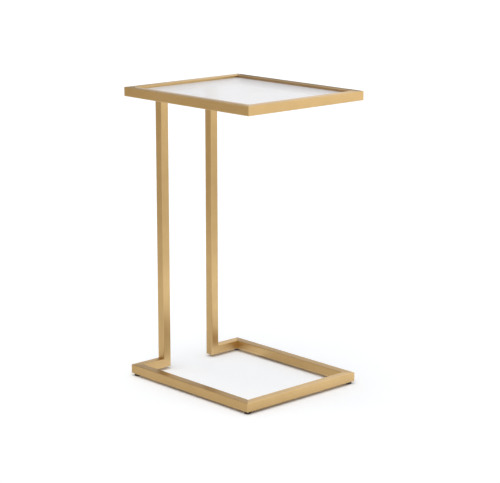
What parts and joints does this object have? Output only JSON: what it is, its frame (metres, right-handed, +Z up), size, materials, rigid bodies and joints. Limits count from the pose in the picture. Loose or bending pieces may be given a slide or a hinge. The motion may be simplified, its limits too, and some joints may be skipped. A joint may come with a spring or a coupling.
{
  "type": "pull-up table",
  "caption": "C-shaped pull-up side table of satin gold square tube, open at one side to slide under a sofa, with a frosted pane let into the top and small levelling feet.",
  "frame": {"origin": "on the floor, under the middle of the top frame's outline", "axes": "+Z up, +X to the right, +Y towards the legs; the C opens towards -Y"},
  "size_m": [0.313, 0.371, 0.61],
  "materials": {
    "gold_tube": "satin gold finish on welded steel tube",
    "gold_ledge": "satin gold finish on steel flat bar",
    "frosted_glass": "pale frosted glass, nearly opaque, satin sheen",
    "clear_silicone": "clear silicone",
    "zinc_steel": "zinc plated",
    "black_steel": "black zinc plated",
    "black_nylon": "moulded black nylon"
  },
  "bodies": {
    "frame": {"base_front_rail": "gold_tube", "base_left_rail": "gold_tube", "base_right_rail": "gold_tube", "base_rear_stub_left": "gold_tube", "base_rear_stub_right": "gold_tube", "leg_left": "gold_tube", "leg_right": "gold_tube", "top_front_rail": "gold_tube", "top_rear_rail": "gold_tube", "top_left_rail": "gold_tube", "top_right_rail": "gold_tube", "ledge_front": "gold_ledge", "ledge_rear": "gold_ledge", "ledge_left": "gold_ledge", "ledge_right": "gold_ledge", "pane_bumpers": "clear_silicone", "foot_weld_nuts": "zinc_steel"},
    "pane": {"glass_pane": "frosted_glass"},
    "pad_front_left": {"foot_pad_front_left": "black_nylon"},
    "stud_front_left": {"foot_stud_front_left": "black_steel"},
    "pad_front_right": {"foot_pad_front_right": "black_nylon"},
    "stud_front_right": {"foot_stud_front_right": "black_steel"},
    "pad_rear_right": {"foot_pad_rear_right": "black_nylon"},
    "stud_rear_right": {"foot_stud_rear_right": "black_steel"},
    "pad_rear_left": {"foot_pad_rear_left": "black_nylon"},
    "stud_rear_left": {"foot_stud_rear_left": "black_steel"}
  },
  "joints": [
    {"name": "pane_lift", "type": "slide", "parent": "frame", "child": "pane", "axis": [0, 0, 1], "range_m": [0, 0.08]},
    {"name": "foot_travel_front_left", "type": "slide", "parent": "frame", "child": "pad_front_left", "axis": [0, 0, -1], "range_m": [0, 0.006]},
    {"name": "foot_turn_front_left", "type": "hinge", "parent": "pad_front_left", "child": "stud_front_left", "pos_m": [-0.1415, -0.167, 0.005], "axis": [0, 0, -1], "range_deg": [0, 2160]},
    {"name": "foot_travel_front_right", "type": "slide", "parent": "frame", "child": "pad_front_right", "axis": [0, 0, -1], "range_m": [0, 0.006]},
    {"name": "foot_turn_front_right", "type": "hinge", "parent": "pad_front_right", "child": "stud_front_right", "pos_m": [0.1415, -0.167, 0.005], "axis": [0, 0, -1], "range_deg": [0, 2160]},
    {"name": "foot_travel_rear_right", "type": "slide", "parent": "frame", "child": "pad_rear_right", "axis": [0, 0, -1], "range_m": [0, 0.006]},
    {"name": "foot_turn_rear_right", "type": "hinge", "parent": "pad_rear_right", "child": "stud_rear_right", "pos_m": [0.1415, 0.173, 0.005], "axis": [0, 0, -1], "range_deg": [0, 2160]},
    {"name": "foot_travel_rear_left", "type": "slide", "parent": "frame", "child": "pad_rear_left", "axis": [0, 0, -1], "range_m": [0, 0.006]},
    {"name": "foot_turn_rear_left", "type": "hinge", "parent": "pad_rear_left", "child": "stud_rear_left", "pos_m": [-0.1415, 0.173, 0.005], "axis": [0, 0, -1], "range_deg": [0, 2160]}
  ],
  "couplings": [
    {"joint": "foot_turn_front_left", "follows": "foot_travel_front_left", "rad_per_m": 6283.2},
    {"joint": "foot_turn_front_right", "follows": "foot_travel_front_right", "rad_per_m": 6283.2},
    {"joint": "foot_turn_rear_right", "follows": "foot_travel_rear_right", "rad_per_m": 6283.2},
    {"joint": "foot_turn_rear_left", "follows": "foot_travel_rear_left", "rad_per_m": 6283.2}
  ]
}
